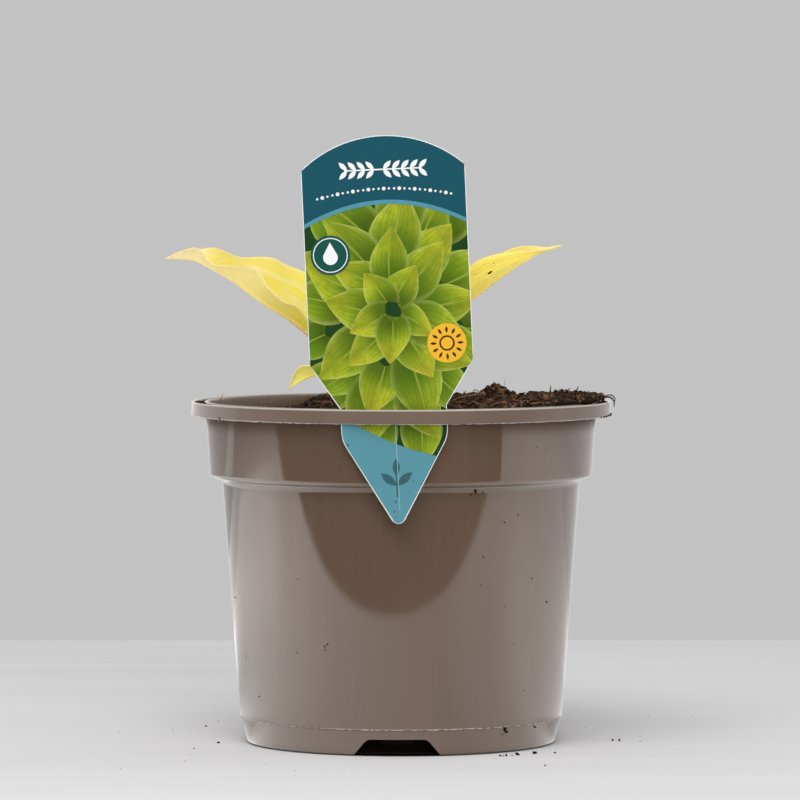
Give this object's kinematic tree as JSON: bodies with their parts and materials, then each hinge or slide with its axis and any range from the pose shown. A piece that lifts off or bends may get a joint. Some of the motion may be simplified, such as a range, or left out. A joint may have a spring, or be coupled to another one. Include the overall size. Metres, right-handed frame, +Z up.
{
  "type": "potted hosta plant",
  "caption": "Young hosta with yellow folded leaves in a round taupe plastic nursery pot of compost, with an upright picture label slotted into the pot's rim.",
  "frame": {"origin": "on the pot's axis, in the plane the pot stands on", "axes": "+Z up along the pot's axis, -Y towards the face of the label, +X to the right as the label is read"},
  "size_m": [0.2016, 0.19, 0.2742],
  "materials": {
    "pot": "satin",
    "compost": "matte",
    "crown": "matte",
    "leaf_left": "satin",
    "leaf_right": "satin",
    "leaf_low": "satin",
    "label": "gloss"
  },
  "bodies": {
    "root": {"pot": "pot", "compost": "compost", "crown": "crown", "leaf_left": "leaf_left", "leaf_right": "leaf_right", "leaf_low": "leaf_low", "label": "label"}
  },
  "joints": []
}
